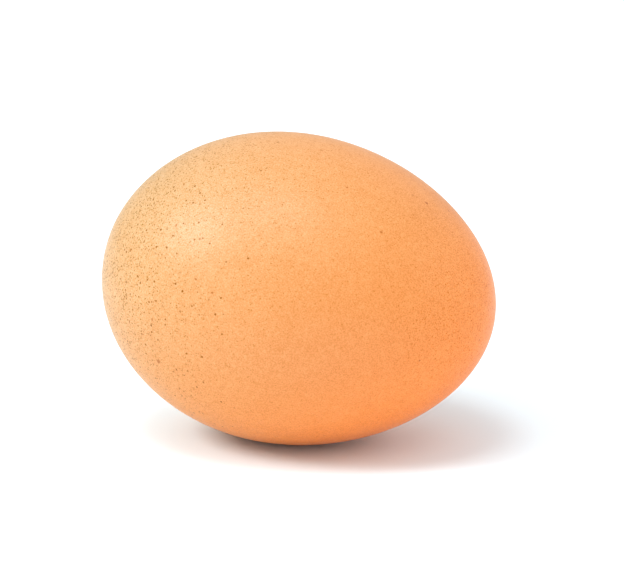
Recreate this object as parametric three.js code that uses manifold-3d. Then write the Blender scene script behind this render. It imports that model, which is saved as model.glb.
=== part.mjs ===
// A whole brown hen's egg, lying on its side. Millimetres, +Z up.
//
// The origin is the middle of the small flat spot that the egg rests on. The long axis lies in the
// XZ plane, with the blunt end towards -X. The pointed end, towards +X, hangs a little lower: an egg
// lies where its shell is nearest to its centre of mass.

import * as THREE from 'three';
import { mergeVertices } from 'three/addons/utils/BufferGeometryUtils.js';
import Module from 'manifold-3d';

const LENGTH = 57.5; // from the blunt end to the pointed end
const MID_WIDTH = 44.6; // across the egg, halfway along it
const TAPER = 0.0605; // how much the blunt half swells and the pointed half narrows
const END_TRIM = 0.0235; // how much both ends are drawn in from an ellipse
const FLAT_DEPTH = 0.2; // how deep the flat spot is cut

const RING_STEPS = 64; // facets round the egg
const OUTLINE_STEPS = 48; // facets from one end to the other
const SLICES = 20000; // steps that the centre of mass and the resting point are found with

const SHELL_COLOUR = 0xe7a66f;
const SHELL_ROUGHNESS = 0.55;

const halfLength = LENGTH / 2;
const halfWidth = MID_WIDTH / 2;

// One point of the outline. t runs from 0 at the pointed end to PI at the blunt end, x is measured
// along the axis from the middle of the egg, and r out from the axis.
function outlinePoint( t ) {

	const along = Math.cos( t );
	const swell = 1 - TAPER * along - END_TRIM * along * along;
	return { x: halfLength * along, r: halfWidth * Math.sin( t ) * swell };

}

// The centre of mass lies on the axis, nearer to the blunt end than the middle is. It is summed from
// thin discs, of equal thickness.
function centreOfMass() {

	let volume = 0;
	let moment = 0;
	for ( let i = 0; i < SLICES; i ++ ) {

		const along = ( 2 * i + 1 ) / SLICES - 1;
		const { x, r } = outlinePoint( Math.acos( along ) );
		volume += r * r;
		moment += x * r * r;

	}

	return moment / volume;

}

// The point of the outline nearest to the centre of mass, which stands straight above it when the
// egg lies still, and the angle by which the pointed end then hangs down.
function restingPoint() {

	const centre = centreOfMass();
	let nearest = { reach: Infinity };
	for ( let i = 1; i < SLICES; i ++ ) {

		const { x, r } = outlinePoint( Math.PI * i / SLICES );
		const reach = Math.hypot( x - centre, r );
		if ( reach < nearest.reach ) nearest = { x, r, reach };

	}

	return { x: nearest.x, r: nearest.r, tilt: Math.atan2( nearest.x - centre, nearest.r ) };

}

// The whole egg, turned about its axis and laid down, with its lowest point just below the origin.
function layEgg() {

	const profile = [];
	for ( let i = OUTLINE_STEPS; i >= 0; i -- ) {

		const { x, r } = outlinePoint( Math.PI * i / OUTLINE_STEPS );
		profile.push( new THREE.Vector2( r, x ) );

	}

	const { x, r, tilt } = restingPoint();
	const back = x * Math.cos( tilt ) - r * Math.sin( tilt );
	const lift = x * Math.sin( tilt ) + r * Math.cos( tilt ) - FLAT_DEPTH;
	return new THREE.LatheGeometry( profile, RING_STEPS )
		.rotateZ( - Math.PI / 2 )
		.rotateY( tilt )
		.translate( - back, 0, lift );

}

// The level surface under the egg, as a block with its top at the origin.
function levelSurface() {

	return new THREE.BoxGeometry( LENGTH, LENGTH, LENGTH ).translate( 0, 0, - LENGTH / 2 );

}

const wasm = await Module();
wasm.setup();

function toSolid( geometry ) {

	geometry.deleteAttribute( 'normal' );
	geometry.deleteAttribute( 'uv' );
	const merged = mergeVertices( geometry );
	return new wasm.Manifold( new wasm.Mesh( {
		numProp: 3,
		vertProperties: merged.attributes.position.array,
		triVerts: new Uint32Array( merged.index.array )
	} ) );

}

function toGeometry( solid ) {

	const { vertProperties, triVerts } = solid.getMesh();
	const geometry = new THREE.BufferGeometry();
	geometry.setAttribute( 'position', new THREE.BufferAttribute( vertProperties, 3 ) );
	geometry.setIndex( new THREE.BufferAttribute( triVerts, 1 ) );
	geometry.computeVertexNormals();
	return geometry;

}

function makeEgg() {

	const solid = toSolid( layEgg() ).subtract( toSolid( levelSurface() ) );
	const shell = new THREE.MeshStandardMaterial( {
		color: SHELL_COLOUR,
		roughness: SHELL_ROUGHNESS,
		metalness: 0
	} );
	const egg = new THREE.Mesh( toGeometry( solid ), shell );
	egg.name = 'egg';
	return egg;

}

const part = new THREE.Group();
part.add( makeEgg() );

export default part;
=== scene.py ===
import math
import random

import bmesh
import bpy
from mathutils import Matrix, Vector, kdtree, noise


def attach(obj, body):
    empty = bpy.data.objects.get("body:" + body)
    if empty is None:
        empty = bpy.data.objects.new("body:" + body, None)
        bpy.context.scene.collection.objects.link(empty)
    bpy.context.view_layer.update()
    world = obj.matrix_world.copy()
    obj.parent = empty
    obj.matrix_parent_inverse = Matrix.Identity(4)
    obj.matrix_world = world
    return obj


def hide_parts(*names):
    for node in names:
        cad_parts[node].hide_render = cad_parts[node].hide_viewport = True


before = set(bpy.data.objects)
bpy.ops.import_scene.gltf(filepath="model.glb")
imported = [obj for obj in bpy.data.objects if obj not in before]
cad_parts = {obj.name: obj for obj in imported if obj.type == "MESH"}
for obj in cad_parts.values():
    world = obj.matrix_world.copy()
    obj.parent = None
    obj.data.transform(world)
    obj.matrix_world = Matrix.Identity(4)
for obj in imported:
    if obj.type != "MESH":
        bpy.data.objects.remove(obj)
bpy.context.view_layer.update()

# A whole brown hen's egg, lying on its side on a pale floor. Lengths are in metres, +Z is up, and the
# egg's pointed end is towards +X. Where a name ends in _MM the value is in millimetres, because the
# egg's own measures, its relief and its markings are easier to read that way. In the egg's own axes
# x runs from its blunt end to its pointed end, with 0 halfway, and z points away from the floor.

MM = 0.001

# The egg's outline, the depth of the flat spot that it rests on, and how many slices its centre of
# mass is worked out from.
LENGTH_MM = 57.5
MID_WIDTH_MM = 44.6
TAPER = 0.0605
END_TRIM = 0.0235
FLAT_DEPTH_MM = 0.2
SLICES = 20000
HALF_LENGTH_MM = LENGTH_MM / 2
HALF_WIDTH_MM = MID_WIDTH_MM / 2

# The mesh of the shell: the cuts across each side of the cube that it starts from, how far its
# surface keeps inside the nominal outline, and the width under which a direction lies on the axis.
GRID_CUTS = 127
KEEP_IN_MM = 0.05
ON_AXIS = 1e-9

# The shell's swells, from broad to fine: (size of a wave in mm, height in mm).
SWELLS_MM = ((21.0, 0.045), (7.0, 0.012), (2.4, 0.006), (1.1, 0.004))

# The small marks on the shell: how many, their radii and heights in mm, and how strongly they gather
# towards the blunt end.
MARK_SEED = 11
BUMPS = {"count": 150, "radii": (0.45, 0.8), "heights": (0.008, 0.022), "end_bias": 1.4}
PITS = {"count": 320, "radii": (0.4, 0.7), "heights": (-0.016, -0.006), "end_bias": 0.3}


# ---------------------------------------------------------------- how the egg lies

def outline_radius(along):
    """The outline's distance from the axis, in mm. along runs from -1 at the blunt end to 1."""
    swell = 1 - TAPER * along - END_TRIM * along * along
    return HALF_WIDTH_MM * math.sqrt(max(0.0, 1 - along * along)) * swell


def resting_place():
    """How far the egg's middle lies back from the resting point and above it, and its tilt."""
    steps = [(2 * i + 1) / SLICES - 1 for i in range(SLICES)]
    discs = [outline_radius(along) ** 2 for along in steps]
    centre = HALF_LENGTH_MM * sum(a * d for a, d in zip(steps, discs)) / sum(discs)
    along = min(steps, key=lambda a: math.hypot(HALF_LENGTH_MM * a - centre, outline_radius(a)))
    x = HALF_LENGTH_MM * along
    r = outline_radius(along)
    tilt = math.atan2(x - centre, r)
    back = x * math.cos(tilt) - r * math.sin(tilt)
    lift = x * math.sin(tilt) + r * math.cos(tilt) - FLAT_DEPTH_MM
    return back, lift, tilt


BACK_MM, LIFT_MM, TILT = resting_place()
EGG_MIDDLE = Vector((-BACK_MM, 0, LIFT_MM)) * MM
LIE = Matrix.Translation(EGG_MIDDLE) @ Matrix.Rotation(TILT, 4, "Y")


# ---------------------------------------------------------------- the shell's shape

def on_outline(direction):
    """The point of the smooth egg, in mm along its own axes, that a unit direction stands for."""
    along = direction.x
    ring = math.hypot(direction.y, direction.z)
    if ring < ON_AXIS:
        return Vector((HALF_LENGTH_MM * along, 0, 0))
    r = outline_radius(along)
    return Vector((HALF_LENGTH_MM * along, r * direction.y / ring, r * direction.z / ring))


def outward(p):
    """The direction in which the smooth egg faces at a point p, near enough for its relief."""
    x, y, z = p
    slope = Vector((x / HALF_LENGTH_MM ** 2, y / HALF_WIDTH_MM ** 2, z / HALF_WIDTH_MM ** 2))
    return slope.normalized()


def spread(value):
    """Moves a line of the cube's grid so that the grid is even once it is blown up to a ball."""
    return math.tan(value * math.pi / 4)


def even_direction(corner):
    """The unit direction through a corner of the cube's grid, which runs from -1 to 1 each way."""
    return Vector([spread(c) for c in corner]).normalized()


def swell_height(p):
    """Height of the shell's gentle swells at a point p, in mm."""
    return sum(h * noise.noise(p / size) for size, h in SWELLS_MM)


def small_marks(draw, count, radii, heights, end_bias):
    """Seeded small bumps or pits: (unit direction, radius in mm, height in mm) of each."""
    marks = []
    while len(marks) < count:
        d = Vector([draw.gauss(0, 1) for _ in range(3)]).normalized()
        if draw.random() < math.exp(-end_bias * (d.x + 1)):
            marks.append((d, draw.uniform(*radii), draw.uniform(*heights)))
    return marks


def relief(smooth):
    """How far the shell stands out from each point of the smooth egg, in mm."""
    rise = [swell_height(p) - KEEP_IN_MM for p in smooth]
    near = kdtree.KDTree(len(smooth))
    for i, p in enumerate(smooth):
        near.insert(p, i)
    near.balance()
    draw = random.Random(MARK_SEED)
    marks = small_marks(draw, **BUMPS)
    marks += small_marks(draw, **PITS)
    for d, radius, height in marks:
        for _, i, distance in near.find_range(on_outline(d), radius):
            rise[i] += height * (1 - (distance / radius) ** 2) ** 2
    return rise


def shell_mesh():
    """The egg's shell: a ball of even square cells, shaped to the outline, with its fine relief."""
    bm = bmesh.new()
    bmesh.ops.create_cube(bm, size=2)
    bmesh.ops.subdivide_edges(bm, edges=bm.edges[:], cuts=GRID_CUTS, use_grid_fill=True)
    smooth = [on_outline(even_direction(v.co)) for v in bm.verts]
    for v, p, rise in zip(bm.verts, smooth, relief(smooth)):
        v.co = LIE @ ((p + outward(p) * rise) * MM)
        v.co.z = max(v.co.z, 0)
    for face in bm.faces:
        face.smooth = True
    bmesh.ops.recalc_face_normals(bm, faces=bm.faces[:])
    mesh = bpy.data.meshes.new("eggshell")
    bm.to_mesh(mesh)
    bm.free()
    return mesh


# ---------------------------------------------------------------- the shell's finish

# A tint is a colour that multiplies what it is laid on. Places along the egg run from the blunt end
# (0) to the pointed end (1), and heights from its lowest (0) to its highest (1).

# The colour at the two ends, paler at the blunt end partly as the shell's own tone and partly as a
# painted sheen of the light from that side; a tint of painted light that makes the top paler, tints of
# painted shade that make the bottom and the part right underneath a deeper orange; the height from
# which the painted light on top is full, and the height at which the painted shade underneath has
# faded out.
BLUNT_COLOUR = (0.557, 0.3, 0.122, 1)
POINT_COLOUR = (0.85, 0.224, 0.0322, 1)
PAINTED_TOP_LIGHT_TINT = (0.81, 1.01, 1.2, 1)
PAINTED_LOW_SHADE_TINT = (1.18, 0.978, 0.705, 1)
PAINTED_UNDER_SHADE_TINT = (1.0, 0.955, 0.64, 1)
NO_TINT = (1, 1, 1, 1)
PAINTED_TOP_LIGHT_TINT_FROM = 0.85
PAINTED_UNDER_SHADE_TINT_TO = 0.38

# The pigment's tints where it lies thick (0) and thin (1), and how thin it is on plain shell.
THICK_TINT = (0.89, 0.80, 0.55, 1)
THIN_TINT = (1.11, 1.20, 1.45, 1)
PLAIN_THINNESS = 0.5

# Patterns of soft noise: (size of a wave in mm, detail, shift in mm that keeps it off the others).
CLOUDING = (7.0, 3.0, (0, 0, 0))
MOTTLING = (1.3, 2.0, (7, 3, 5))
GRAIN = (0.2, 1.0, (2, 9, 4))
SPECKLE_PATCHES = (6.0, 3.0, (31, 5, 12))
GLOSS_PATCHES = (0.9, 2.0, (5, 5, 21))
FINEST_RELIEF = (0.45, 2.0, (14, 2, 9))

# The range that nearly all of such a pattern lies in.
USUAL_NOISE = (0.3, 0.7)

# How much thinner or thicker the first three make the pigment, at most, and how strong the grain is
# along the egg.
CLOUDING_DEPTH = 0.15
MOTTLING_DEPTH = 0.25
GRAIN_DEPTH = 2.0
GRAIN_ALONG = (
    (0.0, 0.75), (0.3, 0.62), (0.45, 0.6), (0.65, 0.58), (0.8, 0.62), (0.92, 0.9), (1.0, 1.0),
)

# Broad patches: (mm along the egg from its middle, degrees round it from +Y, radius in mm, how far they
# shift the colour towards the thick tint, or below 0 towards the thin tint). The first two darken the
# shell; the last two are paler and are painted light that lifts the edge of the pointed end.
CLOUDS_AND_PAINTED_LIGHT = (
    (5.5, 170, 8.5, 0.13),
    (3.0, 158, 4.0, 0.1),
    (21.7, 218, 7.0, -0.08),
    (23.1, 119, 7.0, -0.08),
)

# The tints in the middle of a speckle near each end, of a freckle and of a rusty spot.
BLUNT_SPECKLE_TINT = (0.39, 0.36, 0.0, 1)
POINT_SPECKLE_TINT = (0.84, 0.57, 0.0, 1)
FRECKLE_TINT = (0.44, 0.32, 0.0, 1)
RUST_TINT = (0.66, 0.45, 0.1, 1)

# Layers of scattered dots: (side in mm of the cells that they lie in, radius of a dot in mm, share of
# the cells that have a dot where thickness is 1, shift in mm).
SMALL_SPECKLES = (0.34, 0.135, 0.75, (0, 0, 0))
LARGE_SPECKLES = (0.5, 0.15, 0.5, (11, 4, 8))
FRECKLES = (0.6, 0.2, 0.95, (3, 17, 6))

# The share of a dot's radius, and of a rusty spot's, within which it is at its darkest, and the
# strengths of the faintest dot and the darkest.
DOT_CORE = 0.5
SPOT_CORE = 0.35
DOT_STRENGTHS = (0.2, 1.0)

# How dots and spots are made ragged: (size of a wave in mm, push in mm), and the waves' detail.
DOT_STIR_MM = (0.3, 0.07)
SPOT_STIR_MM = (0.4, 0.2)
STIR_DETAIL = 1.0

# The thickness of the speckles and of the freckles along the egg, and what it is multiplied by from
# patch to patch and from the lowest height to the highest.
SPECKLES_ALONG = (
    (0.0, 1.0), (0.15, 0.8), (0.3, 0.6), (0.5, 0.5), (0.7, 0.5), (0.85, 0.7), (1.0, 1.0),
)
FRECKLES_ALONG = (
    (0.0, 1.0), (0.12, 0.62), (0.2, 0.36), (0.3, 0.13), (0.42, 0.04), (0.52, 0.0), (1.0, 0.0),
)
THICKNESS_BY_PATCH = (0.8, 1.2)
THICKNESS_BY_HEIGHT = (0.9, 1.2)

# How dark the speckles are along the egg, what that is multiplied by between two heights near the
# top, and the most that it comes to.
DARKNESS_ALONG = (
    (0.0, 1.0), (0.16, 0.86), (0.28, 0.58), (0.45, 0.38), (0.7, 0.3), (0.8, 0.34), (0.92, 0.6),
    (1.0, 0.76),
)
TOP_HEIGHTS = (0.75, 0.95)
DARKNESS_BY_TOP = (1.0, 1.5)
DARKEST = 0.95

# How fully speckles and freckles cover the shell. Over 1, a strong dot is full nearly to its edge.
SPECKLE_COVER = 1.5
FRECKLE_COVER = 1.4

# The rusty spots: (mm along the egg from its middle, degrees round it from +Y, radius in mm).
SPOTS = (
    (-14.5, 204, 0.42),
    (-20.7, 156, 0.3),
    (-15.4, 185, 0.27),
    (-8.9, 165, 0.27),
    (-6.2, 169, 0.24),
    (-13.6, 145, 0.25),
    (-17.8, 138, 0.22),
    (-9.4, 150, 0.22),
    (-17.0, 194, 0.22),
    (-15.3, 197, 0.22),
    (-14.5, 125, 0.22),
    (2.9, 99, 0.26),
    (8.6, 117, 0.2),
    (14.7, 132, 0.28),
    (17.1, 87, 0.22),
    (16.5, 101, 0.24),
    (18.4, 99, 0.36),
    (20.8, 86, 0.28),
    (21.8, 195, 0.2),
    (28.0, 206, 0.22),
)

# The shell's gloss: its roughness from place to place, its specular level between the speckles and in
# them, the faint sheen of the bloom on it, and the height of its finest relief.
ROUGHNESS = (0.42, 0.5)
SHELL_IOR = 1.5
SHELL_SPECULAR = 0.41
SPECKLE_SPECULAR = 0.2
BLOOM_SHEEN = 0.08
BLOOM_ROUGHNESS = 0.3
FINEST_RELIEF_MM = 0.008


class Nodes:
    """A few short ways of adding nodes to a material."""

    def __init__(self, material):
        self.tree = material.node_tree

    def add(self, kind, inputs=None, **settings):
        made = self.tree.nodes.new(kind)
        for name, value in settings.items():
            setattr(made, name, value)
        for name, value in (inputs or {}).items():
            self.fill(made.inputs[name], value)
        return made

    def fill(self, socket, value):
        """Gives a socket a value, or the output that it reads."""
        if isinstance(value, bpy.types.NodeSocket):
            self.tree.links.new(value, socket)
        else:
            socket.default_value = value

    def math(self, operation, a, b):
        return self.add("ShaderNodeMath", {0: a, 1: b}, operation=operation).outputs[0]

    def move_range(self, value, low, high, to_low, to_high, way):
        limits = {"From Min": low, "From Max": high, "To Min": to_low, "To Max": to_high}
        made = self.add("ShaderNodeMapRange", {"Value": value, **limits}, interpolation_type=way)
        return made.outputs["Result"]

    def share(self, value, low, high, to_low=0.0, to_high=1.0):
        """value moved evenly from the range low to high to the range to_low to to_high."""
        return self.move_range(value, low, high, to_low, to_high, "LINEAR")

    def ease(self, value, low, high, to_low=0.0, to_high=1.0):
        """As share, but eased in and out at the ends of the range."""
        return self.move_range(value, low, high, to_low, to_high, "SMOOTHSTEP")

    def curve(self, value, points):
        """value from 0 to 1 read off a smooth line through points."""
        made = self.add("ShaderNodeValToRGB", {"Fac": value})
        made.color_ramp.interpolation = "EASE"
        stops = made.color_ramp.elements
        while len(stops) < len(points):
            stops.new(0.5)
        for stop, (position, height) in zip(stops, points):
            stop.position = position
            stop.color = (height, height, height, 1)
        return made.outputs["Color"]

    def mix(self, amount, a, b, blend_type="MIX"):
        made = self.add("ShaderNodeMix", data_type="RGBA", blend_type=blend_type)
        for name, value in (("Factor_Float", amount), ("A_Color", a), ("B_Color", b)):
            self.fill(next(s for s in made.inputs if s.identifier == name), value)
        return next(s for s in made.outputs if s.identifier == "Result_Color")

    def tinted(self, colour, tint):
        return self.mix(1.0, colour, tint, "MULTIPLY")

    def shifted(self, where, offset):
        return self.add("ShaderNodeVectorMath", {0: where, 1: offset}, operation="ADD").outputs[0]

    def distance(self, where, point):
        gap = self.add("ShaderNodeVectorMath", {0: where, 1: point}, operation="DISTANCE")
        return gap.outputs["Value"]

    def stirred(self, where, size_mm, amount_mm):
        """where pushed about in waves of size_mm, mostly by less than half of amount_mm."""
        inputs = {"Vector": where, "Scale": 1 / size_mm, "Detail": STIR_DETAIL}
        waves = self.add("ShaderNodeTexNoise", inputs).outputs["Color"]
        inputs = {0: waves, 1: [2 * amount_mm] * 3, 2: [-amount_mm] * 3}
        push = self.add("ShaderNodeVectorMath", inputs, operation="MULTIPLY_ADD")
        return self.shifted(where, push.outputs[0])

    def noise(self, where, pattern):
        """A pattern of soft noise from 0 to 1."""
        size_mm, detail, offset = pattern
        inputs = {"Vector": self.shifted(where, offset), "Scale": 1 / size_mm, "Detail": detail}
        return self.add("ShaderNodeTexNoise", inputs).outputs["Fac"]

    def swing(self, where, pattern, depth):
        """A pattern of soft noise from -depth to depth."""
        return self.share(self.noise(where, pattern), 0.0, 1.0, -depth, depth)

    def dots(self, where, layer, thickness):
        """A layer of scattered dots, each up to 1 in its middle."""
        cell_mm, radius_mm, most, offset = layer
        inputs = {"Vector": self.shifted(where, offset), "Scale": 1 / cell_mm}
        cells = self.add("ShaderNodeTexVoronoi", inputs)
        reach = radius_mm / cell_mm
        dot = self.ease(cells.outputs["Distance"], reach, reach * DOT_CORE)
        luck = self.add("ShaderNodeSeparateColor", {0: cells.outputs["Color"]})
        present = self.math("LESS_THAN", luck.outputs[0], self.math("MULTIPLY", thickness, most))
        strength = self.share(luck.outputs[1], 0, 1, *DOT_STRENGTHS)
        return self.math("MULTIPLY", self.math("MULTIPLY", dot, present), strength)


def egg_place(n):
    """The place on the shell in mm, along the egg's own axes."""
    place = n.add("ShaderNodeTexCoord").outputs["Object"]
    inputs = {"Vector": place, "Location": EGG_MIDDLE, "Rotation": (0, TILT, 0), "Scale": (MM, MM, MM)}
    return n.add("ShaderNodeMapping", inputs, vector_type="TEXTURE").outputs["Vector"]


def spot_place(along_mm, degrees):
    """The point of the shell, in mm along the egg's axes, at a distance along it and an angle round."""
    r = outline_radius(along_mm / HALF_LENGTH_MM) - KEEP_IN_MM
    turn = math.radians(degrees)
    return Vector((along_mm, r * math.cos(turn), r * math.sin(turn)))


def cloud_and_painted_light_cover(n, where):
    """How far the broad patches shift a place's colour towards the thick tint; below 0 they shift it
    towards the thin tint, which is painted light.
    """
    cover = 0.0
    for along_mm, degrees, radius, depth in CLOUDS_AND_PAINTED_LIGHT:
        gap = n.distance(where, spot_place(along_mm, degrees))
        cover = n.math("ADD", n.ease(gap, radius, 0, 0.0, depth), cover)
    return cover


def pigment_and_painted_shading(n, where, along, height):
    """The ground colour: paler at the blunt end, partly as a painted sheen; paler on top with painted
    light and deeper orange underneath with painted shade; with broad patches, mottled and finely
    grained.
    """
    # Paler towards the blunt end: partly the shell's own tone, partly a painted sheen of the light on
    # that side.
    ground = n.mix(along, BLUNT_COLOUR, POINT_COLOUR)
    # Painted light makes the top paler; painted shade makes the bottom, and most of all the part right
    # underneath, a deeper orange.
    ground = n.tinted(ground, n.mix(n.share(height, 0, PAINTED_TOP_LIGHT_TINT_FROM), PAINTED_LOW_SHADE_TINT, PAINTED_TOP_LIGHT_TINT))
    ground = n.tinted(ground, n.mix(n.share(height, 0, PAINTED_UNDER_SHADE_TINT_TO), PAINTED_UNDER_SHADE_TINT, NO_TINT))
    clouding = n.swing(where, CLOUDING, CLOUDING_DEPTH)
    mottling = n.swing(where, MOTTLING, MOTTLING_DEPTH)
    grain = n.math("MULTIPLY", n.swing(where, GRAIN, GRAIN_DEPTH), n.curve(along, GRAIN_ALONG))
    thin = n.math("ADD", n.math("ADD", clouding, mottling), n.math("ADD", grain, PLAIN_THINNESS))
    # The broad patches: two darker ones, and two paler ones that are painted light near the edge of the
    # pointed end.
    thin = n.math("SUBTRACT", thin, cloud_and_painted_light_cover(n, where))
    return n.tinted(ground, n.mix(thin, THICK_TINT, THIN_TINT))


def speckle_cover(n, ragged, along, height, patches):
    """How far the fine speckles cover the shell at a place."""
    thickness = n.math("MULTIPLY", n.curve(along, SPECKLES_ALONG), patches)
    small = n.dots(ragged, SMALL_SPECKLES, thickness)
    large = n.dots(ragged, LARGE_SPECKLES, thickness)
    top = n.share(height, *TOP_HEIGHTS, *DARKNESS_BY_TOP)
    darkness = n.math("MULTIPLY", n.curve(along, DARKNESS_ALONG), top)
    darkness = n.math("MINIMUM", darkness, DARKEST)
    dark = n.math("MULTIPLY", n.math("MAXIMUM", small, large), darkness)
    return n.math("MULTIPLY", dark, SPECKLE_COVER)


def freckle_cover(n, ragged, along, patches):
    """How far the freckles cover the shell at a place."""
    thickness = n.math("MULTIPLY", n.curve(along, FRECKLES_ALONG), patches)
    return n.math("MULTIPLY", n.dots(ragged, FRECKLES, thickness), FRECKLE_COVER)


def speckled(n, where, along, height, colour):
    """Lays the speckles and the freckles over a colour. Also gives how far they cover it."""
    ragged = n.stirred(where, *DOT_STIR_MM)
    patches = n.share(n.noise(where, SPECKLE_PATCHES), *USUAL_NOISE, *THICKNESS_BY_PATCH)
    patches = n.math("MULTIPLY", patches, n.share(height, 0, 1, *THICKNESS_BY_HEIGHT))
    speckles = speckle_cover(n, ragged, along, height, patches)
    freckles = freckle_cover(n, ragged, along, patches)
    tint = n.mix(along, BLUNT_SPECKLE_TINT, POINT_SPECKLE_TINT)
    colour = n.mix(speckles, colour, n.tinted(colour, tint))
    colour = n.mix(freckles, colour, n.tinted(colour, FRECKLE_TINT))
    return colour, n.math("MAXIMUM", speckles, freckles)


def spotted(n, where, colour):
    """Lays the rusty spots, each at its own place, over a colour."""
    ragged = n.stirred(where, *SPOT_STIR_MM)
    cover = 0.0
    for along_mm, degrees, radius in SPOTS:
        gap = n.distance(ragged, spot_place(along_mm, degrees))
        cover = n.math("MAXIMUM", n.ease(gap, radius, radius * SPOT_CORE), cover)
    return n.mix(cover, colour, n.tinted(colour, RUST_TINT))


def shell_colour(n, where):
    """The shell's colour at a place, and how far speckles and freckles cover it there."""
    axes = n.add("ShaderNodeSeparateXYZ", {0: where}).outputs
    along = n.share(axes["X"], -HALF_LENGTH_MM, HALF_LENGTH_MM)
    height = n.share(axes["Z"], -HALF_WIDTH_MM, HALF_WIDTH_MM)
    ground = pigment_and_painted_shading(n, where, along, height)
    colour, cover = speckled(n, where, along, height, ground)
    return spotted(n, where, colour), cover


def shell_material():
    """Brown eggshell: a coloured, satin surface with the finest of its relief as a bump."""
    material = bpy.data.materials.new("brown_eggshell")
    material.use_nodes = True
    n = Nodes(material)
    surface = material.node_tree.nodes["Principled BSDF"].inputs
    where = egg_place(n)
    colour, cover = shell_colour(n, where)
    n.fill(surface["Base Color"], colour)
    n.fill(surface["Roughness"], n.share(n.noise(where, GLOSS_PATCHES), *USUAL_NOISE, *ROUGHNESS))
    n.fill(surface["Specular IOR Level"], n.share(cover, 0, 1, SHELL_SPECULAR, SPECKLE_SPECULAR))
    surface["IOR"].default_value = SHELL_IOR
    surface["Sheen Weight"].default_value = BLOOM_SHEEN
    surface["Sheen Roughness"].default_value = BLOOM_ROUGHNESS
    bump = {"Height": n.noise(where, FINEST_RELIEF), "Distance": FINEST_RELIEF_MM * MM, "Strength": 1.0}
    n.fill(surface["Normal"], n.add("ShaderNodeBump", bump).outputs["Normal"])
    return material


def make_egg():
    egg = bpy.data.objects.new("eggshell", shell_mesh())
    bpy.context.collection.objects.link(egg)
    egg.data.materials.append(shell_material())
    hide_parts("egg")
    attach(egg, "root")


# ---------------------------------------------------------------- camera, floor and light

# Where the camera stands: how far round from -Y, how far above level, and how far from the egg's
# middle. Then the picture's size in pixels, the size of a millimetre at the egg's middle and the place
# of that middle in it, and the camera's sensor, in mm, and reach.
VIEW_AZIMUTH = math.radians(16.9)
VIEW_ELEVATION = math.radians(15)
VIEW_DISTANCE = 0.5
IMAGE_WIDTH = 624
IMAGE_HEIGHT = 587
PIXELS_PER_MM = 6.995
EGG_MIDDLE_PIXEL = (298.5, 289.7)
SENSOR_WIDTH = 36
NEAREST_SEEN = 0.01
FARTHEST_SEEN = 20

FLOOR_HALF_WIDTH = 3
FLOOR_WHITE = (0.79, 0.90, 0.955, 1)
FLOOR_ROUGHNESS = 0.9
FLOOR_SPECULAR = 0.1

ROOM_WHITE = (1, 1, 1, 1)
ROOM_LIGHT = 0.65

# The soft lights: name, direction from the egg (to the camera's right, up, back towards the camera),
# distance, side of the square and power in watts.
SOFTBOXES = (
    ("key", (-0.75, 0.55, 0.35), 0.9, 0.33, 5.6),
    ("key_soft", (-0.75, 0.55, 0.35), 0.9, 1.0, 1.28),
    ("overhead", (0, 0.97, 0.26), 1.0, 1.6, 2.7),
    ("overhead_small", (-0.16, 0.86, 0.49), 1.0, 0.35, 3.2),
    ("front", (0, 0.35, 0.94), 1.0, 0.8, 1.0),
    ("right", (0.9, 0.3, 0.3), 1.0, 0.8, 2.42),
    ("left", (-0.97, 0.1, 0.2), 1.0, 0.8, 0.33),
    ("back_right", (0.75, 0.5, -0.43), 1.0, 1.0, 1.49),
)


def view_axes():
    """The camera's right, up and backward directions."""
    back = Vector((
        math.sin(VIEW_AZIMUTH) * math.cos(VIEW_ELEVATION),
        -math.cos(VIEW_AZIMUTH) * math.cos(VIEW_ELEVATION),
        math.sin(VIEW_ELEVATION),
    ))
    right = Vector((0, 0, 1)).cross(back).normalized()
    return right, back.cross(right), back


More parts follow.
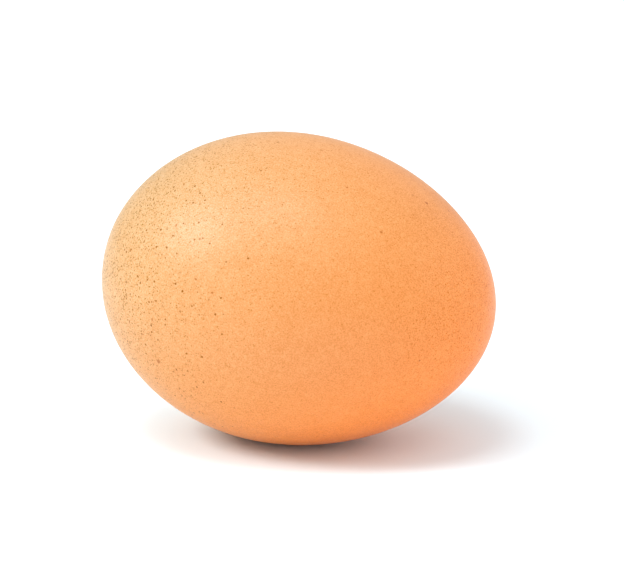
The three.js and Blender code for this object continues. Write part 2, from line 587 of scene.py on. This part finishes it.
def make_camera():
    right, up, back = view_axes()
    across = (IMAGE_WIDTH / 2 - EGG_MIDDLE_PIXEL[0]) / PIXELS_PER_MM * MM
    down = (IMAGE_HEIGHT / 2 - EGG_MIDDLE_PIXEL[1]) / PIXELS_PER_MM * MM
    aim = EGG_MIDDLE + right * across - up * down
    data = bpy.data.cameras.new("camera")
    data.sensor_width = SENSOR_WIDTH
    data.lens = SENSOR_WIDTH * PIXELS_PER_MM * VIEW_DISTANCE / MM / IMAGE_WIDTH
    data.clip_start = NEAREST_SEEN
    data.clip_end = FARTHEST_SEEN
    camera = bpy.data.objects.new("camera", data)
    camera.location = EGG_MIDDLE + back * VIEW_DISTANCE
    camera.rotation_mode = "QUATERNION"
    camera.rotation_quaternion = (camera.location - aim).to_track_quat("Z", "Y")
    bpy.context.collection.objects.link(camera)
    bpy.context.scene.camera = camera


def floor_material():
    material = bpy.data.materials.new("white_table")
    material.use_nodes = True
    surface = material.node_tree.nodes["Principled BSDF"].inputs
    surface["Base Color"].default_value = FLOOR_WHITE
    surface["Roughness"].default_value = FLOOR_ROUGHNESS
    surface["Specular IOR Level"].default_value = FLOOR_SPECULAR
    return material


def make_floor():
    bm = bmesh.new()
    bmesh.ops.create_grid(bm, x_segments=1, y_segments=1, size=FLOOR_HALF_WIDTH)
    mesh = bpy.data.meshes.new("floor")
    bm.to_mesh(mesh)
    bm.free()
    floor = bpy.data.objects.new("floor", mesh)
    bpy.context.collection.objects.link(floor)
    floor.data.materials.append(floor_material())


def softbox(name, direction, distance, size, power):
    """A square light that faces the egg from a direction."""
    data = bpy.data.lights.new(name, "AREA")
    data.shape = "SQUARE"
    data.size = size
    data.energy = power
    light = bpy.data.objects.new(name, data)
    light.location = EGG_MIDDLE + direction.normalized() * distance
    light.rotation_mode = "QUATERNION"
    light.rotation_quaternion = (light.location - EGG_MIDDLE).to_track_quat("Z", "Y")
    bpy.context.collection.objects.link(light)


def make_light():
    world = bpy.data.worlds.new("white_room")
    world.use_nodes = True
    room = world.node_tree.nodes["Background"].inputs
    room["Color"].default_value = ROOM_WHITE
    room["Strength"].default_value = ROOM_LIGHT
    bpy.context.scene.world = world
    right, up, back = view_axes()
    for name, (to_right, to_up, to_back), distance, size, power in SOFTBOXES:
        direction = right * to_right + up * to_up + back * to_back
        softbox(name, direction, distance, size, power)
    bpy.context.scene.view_settings.view_transform = "Standard"


make_camera()
make_floor()
make_light()
make_egg()
